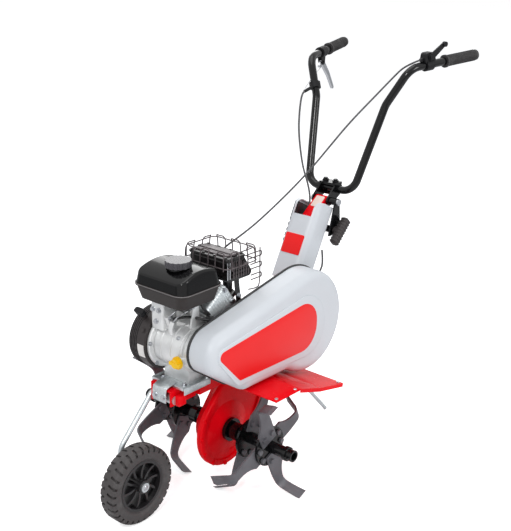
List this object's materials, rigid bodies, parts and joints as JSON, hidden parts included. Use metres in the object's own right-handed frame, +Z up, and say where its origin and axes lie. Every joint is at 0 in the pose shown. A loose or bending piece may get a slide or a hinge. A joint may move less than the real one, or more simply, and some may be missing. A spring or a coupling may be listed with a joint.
{
  "type": "garden tiller",
  "caption": "Walk-behind petrol garden tiller: tined rotor under a chain case, belt drive, small engine, folding front wheel, tilting handlebar with throttle and clutch, drag spur.",
  "frame": {"origin": "on the ground under the middle of the whole machine's length and width", "axes": "+X towards the rear, where the user stands; +Y to the machine's right; +Z up"},
  "size_m": [1.21, 0.52, 1.0977],
  "materials": {
    "red_paint": "gloss red enamel",
    "cover_plastic": "satin light grey moulding",
    "tine_steel": "dark grey painted steel",
    "bar_black": "gloss black enamel",
    "black_plastic": "matte black",
    "tank_black": "gloss black",
    "rubber": "matte",
    "tyre": "matte tread",
    "cast_alloy": "as cast",
    "bright_steel": "machined",
    "zinc": "galvanised",
    "muffler_black": "heat-proof matte black",
    "yellow_plastic": "yellow moulding",
    "grey_plastic": "dark grey"
  },
  "bodies": {
    "machine": {"wheel_bracket": "zinc", "main_frame": "red_paint", "chain_case_left": "red_paint", "chain_case_right": "red_paint", "shaft_bearings": "bar_black", "drive_chain": "bright_steel", "drive_belt": "rubber", "belt_cover": "cover_plastic", "belt_back_plate": "bar_black", "left_mudguard": "red_paint", "right_mudguard": "red_paint", "column_tube": "red_paint", "column_front_cover": "cover_plastic", "column_rear_cover": "cover_plastic", "pivot_bolt": "bright_steel", "throttle_cable": "rubber", "clutch_cable": "rubber", "spur_holder": "red_paint", "engine_base_plate": "zinc", "crankcase": "cast_alloy", "cylinder": "cast_alloy", "cylinder_shroud": "zinc", "fan_housing": "black_plastic", "recoil_cover": "black_plastic", "fuel_tank": "tank_black", "carburettor": "cast_alloy", "air_cleaner": "black_plastic", "muffler": "muffler_black", "muffler_guard": "muffler_black", "frame_bolts": "bright_steel"},
    "rotor": {"tine_shaft": "bright_steel", "driven_sprocket": "bright_steel", "left_tine_carrier": "tine_steel", "right_tine_carrier": "tine_steel", "left_outer_blades": "tine_steel", "left_inner_blades": "tine_steel", "right_inner_blades": "tine_steel", "right_outer_blades": "tine_steel", "tine_bolts": "bright_steel"},
    "upper_shaft": {"input_shaft": "bright_steel", "driven_pulley": "cast_alloy"},
    "crank": {"crankshaft": "bright_steel", "engine_pulley": "bright_steel", "flywheel": "cast_alloy"},
    "tensioner": {"tension_arm": "bright_steel"},
    "filler_cap": {"fuel_cap": "grey_plastic"},
    "oil_filler": {"oil_plug": "yellow_plastic"},
    "starter": {"starter_grip": "black_plastic"},
    "front_arm": {"wheel_arm": "zinc"},
    "front_wheel": {"tyre": "tyre", "wheel_rim": "black_plastic"},
    "handlebar": {"handlebar_tube": "bar_black", "handlebar_grips": "rubber", "bar_clamp": "bar_black", "throttle_housing": "black_plastic", "clutch_bracket": "black_plastic"},
    "throttle": {"throttle_lever": "black_plastic"},
    "clutch": {"clutch_lever": "bright_steel"},
    "tilt_knob": {"clamp_knob": "black_plastic"},
    "rear_spur": {"spur": "zinc"}
  },
  "joints": [
    {"name": "rotor_spin", "type": "hinge", "parent": "machine", "child": "rotor", "pos_m": [-0.217, 0, 0.14894], "axis": [0, 1, 0], "continuous": true},
    {"name": "upper_shaft_spin", "type": "hinge", "parent": "machine", "child": "upper_shaft", "pos_m": [-0.024, 0, 0.418], "axis": [0, 1, 0], "continuous": true},
    {"name": "crank_spin", "type": "hinge", "parent": "machine", "child": "crank", "pos_m": [-0.348, 0, 0.422], "axis": [0, 1, 0], "continuous": true},
    {"name": "wheel_fold", "type": "hinge", "parent": "machine", "child": "front_arm", "pos_m": [-0.402, 0, 0.298], "axis": [0, 1, 0], "range_deg": [0, 75]},
    {"name": "wheel_spin", "type": "hinge", "parent": "front_arm", "child": "front_wheel", "pos_m": [-0.505, 0, 0.1], "axis": [0, 1, 0], "continuous": true},
    {"name": "handlebar_tilt", "type": "hinge", "parent": "machine", "child": "handlebar", "pos_m": [0.215, 0, 0.672], "axis": [0, 1, 0], "range_deg": [-10, 10], "deforming": ["throttle_cable", "clutch_cable"]},
    {"name": "throttle_turn", "type": "hinge", "parent": "handlebar", "child": "throttle", "pos_m": [0.42138, -0.18223, 1.05894], "axis": [-0.2331, -0.9725, 0], "range_deg": [0, 60]},
    {"name": "clutch_squeeze", "type": "hinge", "parent": "handlebar", "child": "clutch", "pos_m": [0.43882, 0.18641, 1.01021], "axis": [0.2331, -0.9725, 0], "range_deg": [0, 38], "stiffness_Nm_per_rad": 1.2, "springref_deg": -14.32},
    {"name": "tensioner_swing", "type": "hinge", "parent": "machine", "child": "tensioner", "pos_m": [-0.205, 0, 0.33], "axis": [0, 1, 0], "range_deg": [0, 8]},
    {"name": "filler_cap_turn", "type": "hinge", "parent": "machine", "child": "filler_cap", "pos_m": [-0.366, -0.018, 0.636], "axis": [0, 0, 1], "range_deg": [0, 90]},
    {"name": "oil_plug_turn", "type": "hinge", "parent": "machine", "child": "oil_filler", "pos_m": [-0.41, -0.056, 0.408], "axis": [-1, 0, 0], "range_deg": [0, 360]},
    {"name": "starter_pull", "type": "slide", "parent": "machine", "child": "starter", "axis": [-0.6, 0, 0.8], "range_m": [0, 0.5], "stiffness_N_per_m": 20, "springref_m": -0.3},
    {"name": "tilt_knob_turn", "type": "hinge", "parent": "machine", "child": "tilt_knob", "pos_m": [0.20603, -0.06, 0.59452], "axis": [0, -1, 0], "continuous": true},
    {"name": "spur_slide", "type": "slide", "parent": "machine", "child": "rear_spur", "axis": [-0.6733, 0, 0.7394], "range_m": [-0.06, 0.02]}
  ],
  "couplings": [
    {"joint": "upper_shaft_spin", "follows": "rotor_spin", "ratio": 3.4},
    {"joint": "crank_spin", "follows": "rotor_spin", "ratio": 11.9},
    {"joint": "tensioner_swing", "follows": "clutch_squeeze", "ratio": 0.21053}
  ]
}
